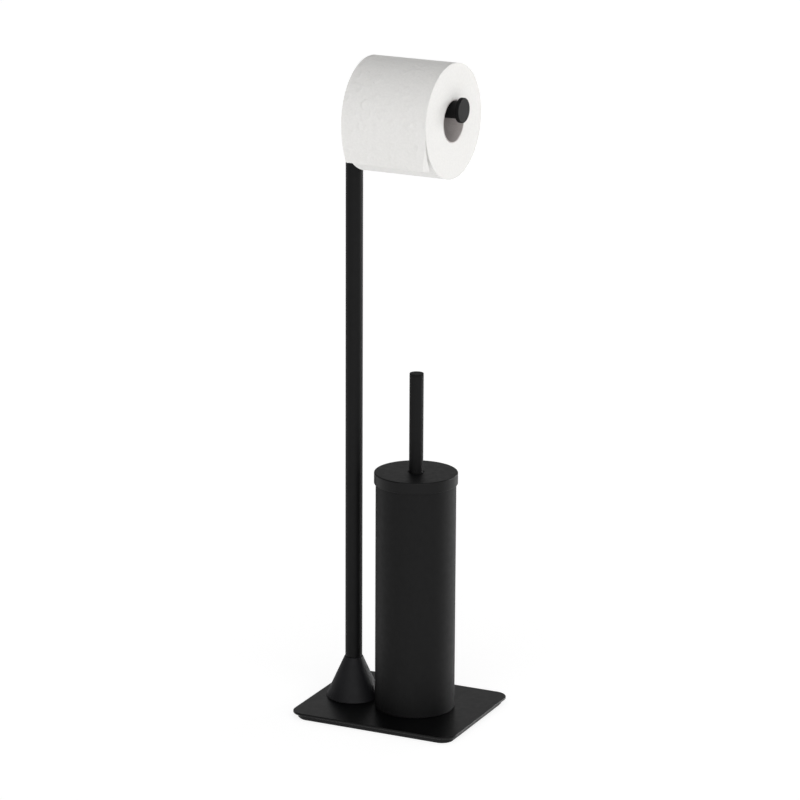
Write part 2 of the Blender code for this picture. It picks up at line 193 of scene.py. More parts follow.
def ring(inner, outer, low, high, ease):
    """The outline of a pipe."""
    return [(inner, low, ease), (outer, low, ease), (outer, high, ease), (inner, high, ease)]


def bar(radius, low, high, ease):
    """The outline of a solid round bar."""
    return [(0.0, low, 0), (radius, low, ease), (radius, high, ease), (0.0, high, 0)]


def rounded_loop(half_x, half_y, corner, z, steps):
    """Points round a rectangle with round corners, anticlockwise from the +X side."""
    loop = []
    for quarter, (sx, sy) in enumerate(((1, 1), (-1, 1), (-1, -1), (1, -1))):
        for k in range(steps + 1):
            a = pi / 2 * (quarter + k / steps)
            x = sx * (half_x - corner) + corner * cos(a)
            y = sy * (half_y - corner) + corner * sin(a)
            loop.append((x, y, z))
    return loop


def slab(name, box, corner, ease, corner_steps=16):
    """A flat sheet in a node's box, with round corners and both rims eased."""
    outline = eased(bar(1.0, box.low.z, box.high.z, ease))
    outline = [p for p in outline if p[0] > 0]
    points, rows = [], []
    for reach, z in outline:
        inset = 1.0 - reach
        loop = rounded_loop(box.size.x / 2 - inset, box.size.y / 2 - inset, corner - inset, z, corner_steps)
        rows.append(list(range(len(points), len(points) + len(loop))))
        points += [(x + box.centre.x, y + box.centre.y, z) for x, y, z in loop]
    faces = [tuple(reversed(rows[0])), tuple(rows[-1])]
    count = len(rows[0])
    for one, two in zip(rows, rows[1:]):
        for k in range(count):
            n = (k + 1) % count
            faces.append((one[k], one[n], two[n], two[k]))
    return add_mesh(name, points, faces)


def swept_tube(name, path, outer, inner, steps=MEDIUM, ease=0.0003):
    """A hollow tube along a path in the XZ plane. Each path point is (place, direction)."""
    rows, points = [], []

    def section(place, direction, radius):
        side = Vector((-direction.z, 0.0, direction.x))
        rows.append(list(range(len(points), len(points) + steps)))
        for k in range(steps):
            a = 2 * pi * k / steps
            points.append(place + side * radius * cos(a) + Vector((0.0, radius * sin(a), 0.0)))

    (first, start), (last, end) = path[0], path[-1]
    section(first, start, outer - ease)
    section(first + start * ease, start, outer)
    for place, direction in path[1:-1]:
        section(place, direction, outer)
    section(last - end * ease, end, outer)
    section(last, end, outer - ease)
    for place, direction in reversed(path):
        section(place, direction, inner)
    faces = []
    for one, two in zip(rows, rows[1:] + rows[:1]):
        for k in range(steps):
            n = (k + 1) % steps
            faces.append((one[k], two[k], two[n], one[n]))
    return add_mesh(name, points, faces)


def cut(obj, tool):
    """Takes the closed shape tool out of obj."""
    boolean = obj.modifiers.new("cut", "BOOLEAN")
    boolean.operation = "DIFFERENCE"
    boolean.solver = "EXACT"
    boolean.object = tool
    weighted = obj.modifiers.get("normals")
    if weighted:
        obj.modifiers.remove(weighted)
    graph = bpy.context.evaluated_depsgraph_get()
    mesh = bpy.data.meshes.new_from_object(obj.evaluated_get(graph))
    obj.modifiers.clear()
    obj.data = mesh
    bpy.data.objects.remove(tool)
    smooth_faces(obj)


# ---------------------------------------------------------------- materials

# The paper's tint, and its emboss: sizes and pitches in metres, radii and widths as shares of their pitch.
PAPER_TINT = (1.0, 0.989, 0.966)
DRIFT_SIZE = 0.014
DRIFT = 0.009
CURL_PITCH = 0.015
CURL_R = 0.38
CURL_HALF_WIDTH = 0.20
CURL_BREAKS = 0.010
PIMPLE_PITCH = 0.0016
PIMPLE_R = 0.45


class Nodes:
    """A short way to write a material's node tree."""

    def __init__(self, name):
        self.material = bpy.data.materials.new(name)
        self.material.use_nodes = True
        self.tree = self.material.node_tree
        self.shader = self.tree.nodes["Principled BSDF"]
        self.place = self.tree.nodes.new("ShaderNodeTexCoord").outputs["Object"]

    def node(self, kind, inputs=None, **settings):
        made = self.tree.nodes.new(kind)
        for key, value in settings.items():
            setattr(made, key, value)
        for key, value in (inputs or {}).items():
            if isinstance(value, bpy.types.NodeSocket):
                self.tree.links.new(value, made.inputs[key])
            else:
                made.inputs[key].default_value = value
        return made

    def noise(self, size, detail=3.0, place=None, rough=0.5):
        """Noise whose features are about size metres across."""
        made = self.node("ShaderNodeTexNoise", {"Vector": place or self.place, "Scale": 1 / size})
        made.inputs["Detail"].default_value = detail
        made.inputs["Roughness"].default_value = rough
        return made.outputs["Fac"]

    def cells(self, size, randomness, place):
        """The distance to the nearest of points that are about size metres apart, as a share of size."""
        made = self.node("ShaderNodeTexVoronoi", {"Vector": place, "Scale": 1 / size}, feature="F1")
        made.inputs["Randomness"].default_value = randomness
        return made.outputs["Distance"]

    def stretched(self, scale):
        """The object's coordinates times a scale along each axis."""
        return self.node("ShaderNodeMapping", {"Vector": self.place, "Scale": scale}).outputs["Vector"]

    def math(self, operation, a, b=0.0):
        return self.node("ShaderNodeMath", {0: a, 1: b}, operation=operation).outputs["Value"]

    def spread(self, value, low, high, start=0.3, end=0.7, kind="LINEAR"):
        """Takes the value from its range start to end over to the range low to high."""
        made = self.node("ShaderNodeMapRange", {"Value": value, "From Min": start, "From Max": end})
        made.interpolation_type = kind
        made.inputs["To Min"].default_value = low
        made.inputs["To Max"].default_value = high
        return made.outputs["Result"]

    def colours(self, value, stops):
        """A colour ramp with the stops (position, colour)."""
        ramp = self.node("ShaderNodeValToRGB", {"Fac": value})
        while len(ramp.color_ramp.elements) < len(stops):
            ramp.color_ramp.elements.new(0.5)
        for element, (position, colour) in zip(ramp.color_ramp.elements, stops):
            element.position = position
            element.color = (*colour, 1.0)
        return ramp.outputs["Color"]

    def mottled(self, size, detail, dark, light):
        """A colour that goes from dark to light and back over about size metres."""
        return self.colours(self.noise(size, detail), [(0.3, dark), (0.7, light)])

    def bump(self, height, depth, strength=1.0, normal=None):
        inputs = {"Height": height, "Distance": depth, "Strength": strength}
        if normal:
            inputs["Normal"] = normal
        return self.node("ShaderNodeBump", inputs).outputs["Normal"]

    def set(self, **values):
        """Sets the shader's sockets, each from a constant or from a node's output."""
        for key, value in values.items():
            socket = self.shader.inputs[key.replace("_", " ")]
            if isinstance(value, bpy.types.NodeSocket):
                self.tree.links.new(value, socket)
            elif isinstance(value, tuple):
                socket.default_value = (*value, 1.0)[: len(socket.default_value)]
            else:
                socket.default_value = value
        return self.material


def powder_coat(name, low, high, tone=0.0008, shine=0.20):
    """Black powder coat, a fine orange peel with grains in it. Its roughness is between low and high."""
    n = Nodes(name)
    dark, light = (tone, tone, tone * 1.2), (tone * 1.6, tone * 1.6, tone * 1.9)
    colour = n.mottled(0.020, 4, dark, light)
    grain = n.noise(size=0.0005, detail=2)
    peel = n.noise(size=0.0018, detail=2)
    fine = n.bump(grain, depth=0.00006, strength=0.35)
    normal = n.bump(peel, depth=0.00012, strength=0.18, normal=fine)
    return n.set(
        Base_Color=colour,
        Roughness=n.spread(n.noise(0.006, 4), low, high),
        Specular_IOR_Level=shine,
        Normal=normal,
    )


def zinc_steel():
    """Zinc-plated steel with fine turning lines round the height."""
    n = Nodes("zinc_steel")
    lines = n.noise(0.0008, 3, n.stretched((1.0, 1.0, 9.0)))
    colour = n.mottled(0.004, 3, (0.42, 0.42, 0.43), (0.60, 0.60, 0.61))
    return n.set(
        Base_Color=colour,
        Metallic=1.0,
        Roughness=n.spread(lines, 0.26, 0.42),
        Normal=n.bump(lines, depth=0.00003, strength=0.3),
    )


def rubber():
    """Matte black rubber."""
    n = Nodes("black_rubber")
    colour = n.mottled(0.006, 4, (0.012, 0.012, 0.012), (0.022, 0.022, 0.022))
    return n.set(
        Base_Color=colour,
        Roughness=n.spread(n.noise(0.003), 0.78, 0.92),
        Specular_IOR_Level=0.3,
        Normal=n.bump(n.noise(0.0009, 3), depth=0.0001, strength=0.5),
    )


def moulded_plastic(name, dark, light, low, high):
    """Injection-moulded plastic with a spark-eroded grain."""
    n = Nodes(name)
    return n.set(
        Base_Color=n.mottled(0.012, 3, dark, light),
        Roughness=n.spread(n.noise(0.004, 3), low, high),
        Normal=n.bump(n.noise(0.0004, 2), depth=0.00004, strength=0.3),
    )


def emboss(n, normal):
    """Small pimples, and broken rings that are bent into soft curls, on the sheet's flat coordinates."""
    flat = n.node("ShaderNodeTexCoord").outputs["UV"]
    drift = n.node("ShaderNodeTexNoise", {"Vector": flat, "Scale": 1 / DRIFT_SIZE}).outputs["Color"]
    bend = {0: drift, 1: (DRIFT, DRIFT, 0.0), 2: flat}
    bent = n.node("ShaderNodeVectorMath", bend, operation="MULTIPLY_ADD").outputs["Vector"]
    from_ring = n.math("ABSOLUTE", n.math("SUBTRACT", n.cells(CURL_PITCH, 0.60, bent), CURL_R))
    ridge = n.spread(from_ring, 1.0, 0.0, 0.0, CURL_HALF_WIDTH, "SMOOTHSTEP")
    broken = n.spread(n.noise(CURL_BREAKS, 1, flat), 0.0, 1.0, 0.38, 0.58, "SMOOTHSTEP")
    ridge = n.math("MULTIPLY", ridge, broken)
    pimples = n.spread(n.cells(PIMPLE_PITCH, 0.15, flat), 1.0, 0.0, 0.0, PIMPLE_R)
    normal = n.bump(pimples, depth=0.00008, strength=0.50, normal=normal)
    return n.bump(ridge, depth=0.00052, strength=0.68, normal=normal)


def tissue(name, white, embossed):
    """Soft, slightly warm paper. White is the brightness of its middle tone."""
    n = Nodes(name)
    fibres = n.noise(0.0007, 4, rough=0.7)
    normal = n.bump(fibres, depth=0.00012, strength=0.30)
    if embossed:
        normal = emboss(n, normal)
    dark, light = [tuple(white * part * tint for tint in PAPER_TINT) for part in (0.974, 1.026)]
    return n.set(
        Base_Color=n.mottled(0.0025, 4, dark, light),
        Roughness=n.spread(n.noise(0.002), 0.88, 0.98),
        Specular_IOR_Level=0.15,
        Subsurface_Weight=0.12,
        Subsurface_Radius=(0.8, 0.8, 0.75),
        Subsurface_Scale=0.0015,
        Sheen_Weight=0.12,
        Sheen_Roughness=0.6,
        Normal=normal,
    )


def card():
    """Grey card with pressed fibres."""
    n = Nodes("grey_card")
    fibres = n.noise(0.0011, 5, n.stretched((0.45, 1.0, 1.0)), 0.7)
    flecks = n.noise(0.0004, 2)
    colour = n.colours(
        n.math("ADD", n.math("MULTIPLY", fibres, 0.7), n.math("MULTIPLY", flecks, 0.3)),
        [(0.3, (0.46, 0.423, 0.411)), (0.5, (0.548, 0.51, 0.50)), (0.7, (0.625, 0.592, 0.582))],
    )
    return n.set(
        Base_Color=colour,
        Roughness=n.spread(fibres, 0.82, 0.96),
        Specular_IOR_Level=0.2,
        Normal=n.bump(fibres, depth=0.0001, strength=0.4),
    )


def floor_paint():
    """A pale floor that also glows, so that it stays even and white far from the set."""
    n = Nodes("pale_floor")
    return n.set(
        Base_Color=n.mottled(0.4, 2, (0.298, 0.298, 0.298), (0.302, 0.302, 0.302)),
        Roughness=0.95,
        Specular_IOR_Level=0.0,
        Emission_Color=(1.0, 1.0, 1.0),
        Emission_Strength=0.835,
    )


COAT = powder_coat("black_powder_coat", 0.57, 0.64)
FLAT_COAT = powder_coat("black_powder_coat_flat", 0.33, 0.39)
# The cone wears the same black coat as the tubes; its lighter colour (tone 0.0048 against 0.0008) is painted
# light that makes the whole cone brighter.
CONE_COAT_PAINTED_LIGHT = powder_coat("black_powder_coat_cone_painted_light", 0.57, 0.64, 0.0048)
LID_COAT = powder_coat("black_powder_coat_lid", 0.43, 0.50)
KNOB_COAT = powder_coat("black_powder_coat_knob", 0.57, 0.64, shine=0.12)
STEEL = zinc_steel()
RUBBER = rubber()
BLACK_PLASTIC = moulded_plastic("black_plastic", (0.008, 0.008, 0.009), (0.013, 0.013, 0.014), 0.36, 0.46)
# The bush's plastic is rougher than the other black plastic, which is real. Its darker colour is painted
# shade that damps the glint in the gap beside the handle.
BUSH_PLASTIC_PAINTED_SHADE = moulded_plastic(
    "black_plastic_matte_painted_shade",
    (0.004, 0.004, 0.005),
    (0.007, 0.007, 0.008),
    0.62,
    0.72,
)
LINER_PLASTIC = moulded_plastic("liner_plastic", (0.50, 0.51, 0.51), (0.56, 0.57, 0.57), 0.38, 0.50)
NYLON = moulded_plastic("bristle_nylon", (0.012, 0.012, 0.013), (0.024, 0.024, 0.026), 0.30, 0.40)
FACE_TISSUE = tissue("tissue_face", 0.765, embossed=True)
# The wound ends are the same paper as the outer sheet, given a darker colour (0.727 against 0.765): painted
# shade that tones down the brightly lit end face.
WOUND_TISSUE_PAINTED_SHADE = tissue("tissue_wound_painted_shade", 0.727, embossed=False)
CARD = card()


def piece(obj, material, body, slot, *nodes):
    """Gives a piece its material and the body that it rides on, and hides the nodes that it stands for."""
    obj.data.materials.clear()
    obj.data.materials.append(material)
    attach(obj, body)
    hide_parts(*nodes)
    return obj


# ---------------------------------------------------------------- stand

# Walls, corners and roundings of the stand, its bores, and the knob with its stud.
TUBE_WALL = 0.0015
BEND_R = 0.014
BEND_STEPS = 24
PLATE_CORNER = 0.016
PLATE_EASE = 0.0009
WEIGHT_CORNER = 0.0137
WEIGHT_EASE = 0.0004
MAT_CORNER = 0.0131
MAT_EASE = 0.0003
ACCESS_R = 0.0085
COUNTERSINK_R = 0.0070
COUNTERSINK_DROP = 0.0016
CUT_OVER = 0.002
HUB_H = 0.012
FOOT_TOP_MARGIN = 0.0008
FOOT_WALL = 0.0024
FOOT_RIM = 0.0006
STUD_L = 0.012
KNOB_BACK_EDGE = 0.0004
KNOB_FRONT_EDGE = 0.0007

PLATE = Box("base_plate")
WEIGHT = Box("base_weight")
MAT = Box("anti_slip_mat")
FOOT = Box("cone_foot")
POST = Box("post_tube")
POST_AT = Vector((POST.centre.x, POST.centre.y, 0.0))
SPIN = next(joint["axis"] for joint in frame["joints"] if joint["name"] == "roll_spin")
SWING = Matrix.Rotation(atan2(SPIN[1], SPIN[0]), 4, "Z")
TURN = Matrix.Translation(POST_AT) @ SWING @ Matrix.Translation(-POST_AT)
ARM = Box("arm_tube", TURN)
KNOB = Box("arm_knob", TURN)
HOLDER = Box("holder_tube")
LINER = Box("holder_liner")
LID = Box("brush_lid")
TUBE_R = POST.radius


def axis_at(box):
    """Where the upright axis of a round node meets the level z = 0."""
    return (box.centre.x, box.centre.y, 0.0)


def base():
    """The plate, its under-body and the pad, with a countersunk bore and an access hole for each screw."""
    plate = slab("plate", PLATE, PLATE_CORNER, PLATE_EASE)
    weight = slab("under_plate", WEIGHT, WEIGHT_CORNER, WEIGHT_EASE)
    mat = slab("anti_slip_pad", MAT, MAT_CORNER, MAT_EASE)
    sink = PLATE.low.z - COUNTERSINK_DROP + GAP * 2
    for label, box in (("post", FOOT), ("holder", HOLDER)):
        access = bar(ACCESS_R, MAT.low.z - CUT_OVER, WEIGHT.high.z + CUT_OVER, 0)
        for obj in (weight, mat):
            cut(obj, turned(label + "_access", access, axis_at(box), COARSE))
        seat = [
            (0.0, PLATE.low.z - CUT_OVER, 0),
            (COUNTERSINK_R, PLATE.low.z - CUT_OVER, 0),
            (COUNTERSINK_R, sink, 0),
            (BORE_R, sink + COUNTERSINK_R - BORE_R, 0),
            (BORE_R, PLATE.high.z + CUT_OVER, 0),
            (0.0, PLATE.high.z + CUT_OVER, 0),
        ]
        cut(plate, turned(label + "_seat", seat, axis_at(box), COARSE))
    piece(plate, FLAT_COAT, "stand", "black_powder_coat", "base_plate")
    piece(weight, FLAT_COAT, "stand", "black_powder_coat", "base_weight")
    piece(mat, RUBBER, "stand", "black_rubber", "anti_slip_mat")


def post():
    """The hollow cone with its screw hub, and the tube that stands on it."""
    low, high = FOOT.low.z, FOOT.high.z
    top_r = TUBE_R + FOOT_TOP_MARGIN
    corners = [
        (BORE_R, high, 0.0002),
        (BORE_R, high - HUB_H, 0.0002),
        (top_r, high - HUB_H, 0.0005),
        (FOOT.radius - FOOT_WALL, low, 0.0003),
        (FOOT.radius, low, 0.0004),
        (FOOT.radius, low + FOOT_RIM, 0.0008),
        (top_r, high, 0.0005),
    ]
    foot = turned("cone", corners, axis_at(FOOT), FINE)
    # The cone's coat is a lighter copy of the black coat: painted light.
    piece(foot, CONE_COAT_PAINTED_LIGHT, "stand", "black_powder_coat", "cone_foot")
    wall = ring(TUBE_R - TUBE_WALL, TUBE_R, POST.low.z, POST.high.z, 0.0003)
    tube = turned("post", wall, axis_at(POST))
    piece(tube, COAT, "stand", "black_powder_coat", "post_tube")


def arm():
    """The tube rises from the post, goes through a tight bend and runs out level to the knob."""
    up, out = Vector((0.0, 0.0, 1.0)), Vector((1.0, 0.0, 0.0))
    axis_z = ARM.high.z - TUBE_R
    centre = Vector((POST.centre.x + BEND_R, 0.0, axis_z - BEND_R))
    path = [(Vector((POST.centre.x, 0.0, ARM.low.z)), up)]
    for k in range(BEND_STEPS + 1):
        a = pi - pi / 2 * k / BEND_STEPS
        path.append((centre + BEND_R * Vector((cos(a), 0.0, sin(a))), Vector((sin(a), 0.0, -cos(a)))))
    path.append((Vector((ARM.high.x, 0.0, axis_z)), out))
    tube = swept_tube("roll_arm", path, TUBE_R, TUBE_R - TUBE_WALL)
    tube.data.transform(TURN)
    piece(tube, COAT, "stand", "black_powder_coat", "arm_tube")
    back, front, r = KNOB.low.x + STUD_L, KNOB.high.x, KNOB.radius
    corners = [
        (0.0, KNOB.low.x, 0),
        (STUD_R, KNOB.low.x, 0.0004),
        (STUD_R, back, 0.0002),
        (r - KNOB_BACK_EDGE, back, 0.0002),
        (r, back + KNOB_BACK_EDGE, 0.0002),
        (r, front - KNOB_FRONT_EDGE, 0.0004),
        (r - KNOB_FRONT_EDGE, front, 0.0004),
        (0.0, front, 0),
    ]
    knob = turned("end_knob", corners, (0.0, 0.0, axis_z), FINE, "X")
    knob.data.transform(TURN)
    piece(knob, KNOB_COAT, "stand", "black_powder_coat", "arm_knob")


# ---------------------------------------------------------------- toilet roll

# The card core: its seam winds along it once in a pitch, and stands proud over a share of a turn.
CARD_WALL = 0.0009
CORE_STEPS = 144
CORE_ROWS = 90
SEAM_PITCH = 0.046
SEAM_STEP = 0.00018
SEAM_FADE = 0.30
FRAY = 0.00012

# The wound ends: how far the edges of the layers stand in from the roll's ends.
LAYERS = 96
LAYER_STEPS = 200
LAYER_DEPTH = 0.00004
LAYER_ROUGH = 0.00003
LAYER_DRIFT = 0.00012
LAYER_DRIFT_SPAN = 13
LAYER_WAVE = 0.00002
INNER_LAYER_IN = 0.0003
OUTER_LAYERS_IN = (0.0001, 0.00035)
UNDER_SHEET = 0.00005

# The outer sheet: its thickness and mesh, the lap over its own start, its softness, and the loose tail, whose
# lifts are those of its free edge at the post's end and at the knob's end of the roll.
SHEET_T = 0.00035
SHEET_ROWS = 420
SHEET_COLUMNS = 108
SHEET_SETBACK = 0.0002
SHEET_LAP = 0.00003
LAP_START = 0.030
LAP_LENGTH = 0.042
WRAP_SHORT = 0.016
TOOTH = 0.00035
PILLOW_FINE = 0.00016
PILLOW_WIDE = 0.00012
FLAT_EDGE = 60
RIPPLE = 0.0006
TAIL_START = radians(-8)
TAIL_LENGTH = 0.0565
TAIL_LIFT_FAR = 0.0070
TAIL_LIFT_NEAR = 0.0088
FOLD_R = 0.0016
FOLD_TURN = radians(50)
FOLD_WIDTH = 0.0075
FOLD_START = 0.40
CORNER_DROP = 0.0035

ROLL = Box("roll_paper", TURN)
ROLL_R = ROLL.radius
ROLL_Z = ROLL.centre.z
CORE = Box("roll_core", TURN)


def two_shells(rows, steps):
    """The faces of two shells, each of some rows round a ring of steps points, joined at their end rows."""
    count = rows * steps
    faces = []
    for shell in (0, 1):
        for i in range(rows - 1):
            for k in range(steps):
                n = (k + 1) % steps
                a = shell * count + i * steps
                faces.append((a + k, a + n, a + steps + n, a + steps + k))
    for i in (0, rows - 1):
        for k in range(steps):
            n = (k + 1) % steps
            a = i * steps
            faces.append((a + k, count + a + k, count + a + n, a + n))
    return faces


def core():
    """A wound card tube: a spiral seam stands a little proud inside, and its ends are slightly frayed."""
    rng = np.random.default_rng(5)
    steps, rows = CORE_STEPS, CORE_ROWS
    inner, outer = CORE.radius - CARD_WALL, CORE.radius
    points = []
    for shell, radius in ((0, inner), (1, outer)):
        for i in range(rows + 1):
            x = CORE.low.x + CORE.size.x * i / rows
            for k in range(steps):
                a = 2 * pi * k / steps
                seam = ((x - CORE.low.x) / SEAM_PITCH - k / steps) % 1.0
                step = SEAM_STEP * (1 - min(seam / SEAM_FADE, 1.0)) if shell == 0 else 0.0
                fray = rng.uniform(-FRAY, 0.0) if i in (0, rows) else 0.0
                sign = 1 if i == rows else -1
                r = radius + step
                points.append((x + sign * fray, r * cos(a), ROLL_Z + r * sin(a)))
    tube = add_mesh("card_core", points, two_shells(rows + 1, steps), sharp=30, weighted=False)
    tube.data.transform(TURN)
    piece(tube, CARD, "roll", "grey_card", "roll_core")


def wound():
    """The wound body: its ends are the edges of the layers, each a hair further in or out than the next."""
    rng = np.random.default_rng(11)
    inner, outer = CORE.radius + GAP / 3, ROLL_R - SHEET_T - UNDER_SHEET
    steps, layers, span = LAYER_STEPS, LAYERS, LAYER_DRIFT_SPAN
    radii = np.linspace(inner, outer, layers)
    angle = 2 * pi * np.arange(steps) / steps
    offsets = {}
    for side in (-1, 1):
        rough = rng.normal(0.0, 1.0, layers)
        slow = np.convolve(rng.normal(0.0, 1.0, layers + span - 1), np.ones(span) / span, "valid")
        depth = LAYER_DEPTH + LAYER_ROUGH * rough + LAYER_DRIFT * slow
        wave = np.outer(rng.normal(0.0, LAYER_WAVE, layers), np.sin(angle * 2 + rng.uniform(0, 6)))
        depth = np.clip(depth, 0.0, None)[:, None] + np.abs(wave)
        depth[0] += INNER_LAYER_IN
        depth[-2] += OUTER_LAYERS_IN[0]
        depth[-1] += OUTER_LAYERS_IN[1]
        offsets[side] = depth
    points = []
    for side in (-1, 1):
        end = ROLL.high.x if side > 0 else ROLL.low.x
        for i in range(layers):
            for k in range(steps):
                x = end - side * offsets[side][i, k]
                points.append((x, radii[i] * cos(angle[k]), ROLL_Z + radii[i] * sin(angle[k])))
    body = add_mesh("wound_paper", points, two_shells(layers, steps), sharp=50, weighted=False)
    body.data.transform(TURN)
    # The ends' paper is painted darker than the sheet's: painted shade on the lit end faces.
    piece(body, WOUND_TISSUE_PAINTED_SHADE, "roll", "white_tissue", "roll_paper")


def smooth(value):
    """Goes softly from 0 to 1 as the value does, and stays there beyond."""
    t = np.clip(value, 0.0, 1.0)
    return t * t * (3 - 2 * t)


def soft_noise(shape, seed, passes):
    """A smooth random field from 0 to 1, wrapped at neither edge."""
    field = np.random.default_rng(seed).normal(0.0, 1.0, shape)
    for _ in range(passes):
        field[1:-1] = (field[:-2] + 2 * field[1:-1] + field[2:]) / 4
        field[:, 1:-1] = (field[:, :-2] + 2 * field[:, 1:-1] + field[:, 2:]) / 4
    return (field - field.min()) / (field.max() - field.min())


def sheet_surface(along, t):
    """The inner face of the outer sheet, at along metres past the tail's start and t metres across.

    Before the tail's start the sheet runs once round the roll. The tail's corner at the roll's free end is
    folded inwards along a slanting line, and hangs a little lower than the rest."""
    corner = smooth((t - ROLL.size.x + FOLD_WIDTH) / FOLD_WIDTH)
    along = along * np.where(along > 0, 1 + CORNER_DROP / TAIL_LENGTH * corner, 1.0)
    share = np.clip(along / TAIL_LENGTH, 0.0, None)
    folded = np.clip((share - FOLD_START) / (1 - FOLD_START), 0.0, None)
    fold = ROLL.size.x - FOLD_WIDTH * folded
    past = np.clip(t - fold, 0.0, None)
    turn = np.minimum(past / FOLD_R, FOLD_TURN * folded)
    straight = np.clip(past - FOLD_R * turn, 0.0, None)
    x = np.minimum(t, fold) + FOLD_R * np.sin(turn) + straight * np.cos(turn)
    inward = FOLD_R * (1 - np.cos(turn)) + straight * np.sin(turn)
    across = np.clip(np.minimum(t, fold) / ROLL.size.x, 0.0, 1.0)
    lift = TAIL_LIFT_FAR + (TAIL_LIFT_NEAR - TAIL_LIFT_FAR) * across**1.5
    angle = TAIL_START + along / np.where(along > 0, ROLL_R + lift / 2, ROLL_R)
    over = (SHEET_T + SHEET_LAP) * smooth((along + LAP_START) / LAP_LENGTH)
    radius = ROLL_R - SHEET_T + over + lift * share**2 - inward
    return x, radius, angle


def sheet_faces(rows, columns):
    """The faces of two grids of rows times columns cells, joined along their four edges."""
    w = columns + 1
    count = (rows + 1) * w
    faces = []
    for i in range(rows):
        for j in range(columns):
            a = i * w + j
            faces.append((a, a + w, a + w + 1, a + 1))
            faces.append((count + a, count + a + 1, count + a + w + 1, count + a + w))
    for j in range(columns):
        for a, b in ((j, j + 1), (rows * w + j, rows * w + j + 1)):
            faces.append((a, b, count + b, count + a))
    for i in range(rows):
        for a, b in ((i * w, i * w + w), (i * w + columns, i * w + w + columns)):
            faces.append((a, b, count + b, count + a))
    return faces


def lay_flat(obj, flat):
    """Gives both sides of the sheet the flat coordinates, in metres, that its emboss is laid out on."""
    layer = obj.data.uv_layers.new(name="flat")
    index = np.zeros(len(obj.data.loops), int)
    obj.data.loops.foreach_get("vertex_index", index)
    layer.data.foreach_set("uv", flat[index % len(flat)].astype(np.float32).ravel())


def sheet():
    """The outermost turn of paper and the loose end that hangs from it, one sheet."""
    wrap = 2 * pi * ROLL_R - WRAP_SHORT
    rows, columns = SHEET_ROWS, SHEET_COLUMNS
    along = np.linspace(-wrap, TAIL_LENGTH, rows + 1)[:, None] * np.ones((1, columns + 1))
    share = np.clip(along / TAIL_LENGTH, 0.0, 1.0)
    v = np.linspace(0.0, 1.0, columns + 1)[None, :]
    t = np.broadcast_to(SHEET_SETBACK + v * (ROLL.size.x - 2 * SHEET_SETBACK), along.shape)
    along[-1] += np.random.default_rng(3).uniform(-TOOTH, TOOTH, columns + 1)
    x, radius, angle = sheet_surface(along, t)
    pillow = PILLOW_FINE * soft_noise(along.shape, 21, 14) + PILLOW_WIDE * soft_noise(along.shape, 22, 60)
    edge = smooth(np.minimum(v, 1 - v) * FLAT_EDGE)
    ripple = RIPPLE * (soft_noise(along.shape, 23, 240) - 0.5) * smooth(share * 2.0)
    radius = radius - pillow * edge * (1 - 0.5 * share) + ripple
    inner = np.stack([x + ROLL.low.x, -radius * np.cos(angle), ROLL_Z - radius * np.sin(angle)], -1)
    down = np.gradient(inner, axis=0)
    side = np.gradient(inner, axis=1)
    normal = np.cross(side, down)
    normal /= np.linalg.norm(normal, axis=-1, keepdims=True)
    outward = np.stack([np.zeros_like(x), -np.cos(angle), -np.sin(angle)], -1)
    if (normal * outward).sum() < 0:
        normal = -normal
    outer = inner + normal * SHEET_T
    points = np.concatenate([outer.reshape(-1, 3), inner.reshape(-1, 3)])
    obj = add_mesh("outer_sheet", points, sheet_faces(rows, columns), sharp=60, weighted=False)
    obj.data.transform(TURN)
    lay_flat(obj, np.stack([along, t], -1).reshape(-1, 2))
    piece(obj, FACE_TISSUE, "roll", "white_tissue", "roll_tail")


# ---------------------------------------------------------------- brush holder

# Walls of the holder, the liner, the lid and the handle, and the parts of them that no box shows.
SHEET_WALL = 0.0008
LINER_WALL = 0.0013
LINER_FOOT = 0.004
LINER_FLOOR_ROUND = 0.005
LID_HOLE_R = 0.0092
LID_WALL = 0.0011
BUSH_FLANGE = 0.0015
SEAL_WIDTH = 0.0032
HANDLE_WALL = 0.0012


def holder():
    """The tube of the holder and the cup in it, whose flange lies on the tube's rim."""
    at = axis_at(HOLDER)
    low, high, r = HOLDER.low.z, HOLDER.high.z, HOLDER.radius
    corners = [
        (r - SHEET_WALL, low, 0.0002),
        (r, low, 0.0005),
        (r, high, 0.0002),
        (r - SHEET_WALL, high, 0.0002),
    ]
    tube = turned("holder", corners, at, FINE)
    piece(tube, COAT, "stand", "black_powder_coat", "holder_tube")
    wall = r - SHEET_WALL - GAP * 2
    flange = high + GAP
    inner = wall - LINER_WALL
    top = LINER.high.z
    corners = [
        (0.0, LINER.low.z, 0),
        (wall - LINER_FOOT, LINER.low.z, 0.0015),
        (wall, LINER.low.z + LINER_FOOT, 0.003),
        (wall, flange, 0.0002),
        (LINER.radius, flange, 0.0003),
        (LINER.radius, top, 0.0004),
        (inner, top, 0.0004),
        (inner, LINER.low.z + LINER_FLOOR_ROUND, 0.003),
        (inner - LINER_FOOT, LINER.low.z + LINER_WALL, 0.0015),
        (0.0, LINER.low.z + LINER_WALL, 0),
    ]
    cup = turned("liner_cup", corners, at, FINE)
    piece(cup, LINER_PLASTIC, "stand", "liner_plastic", "holder_liner")


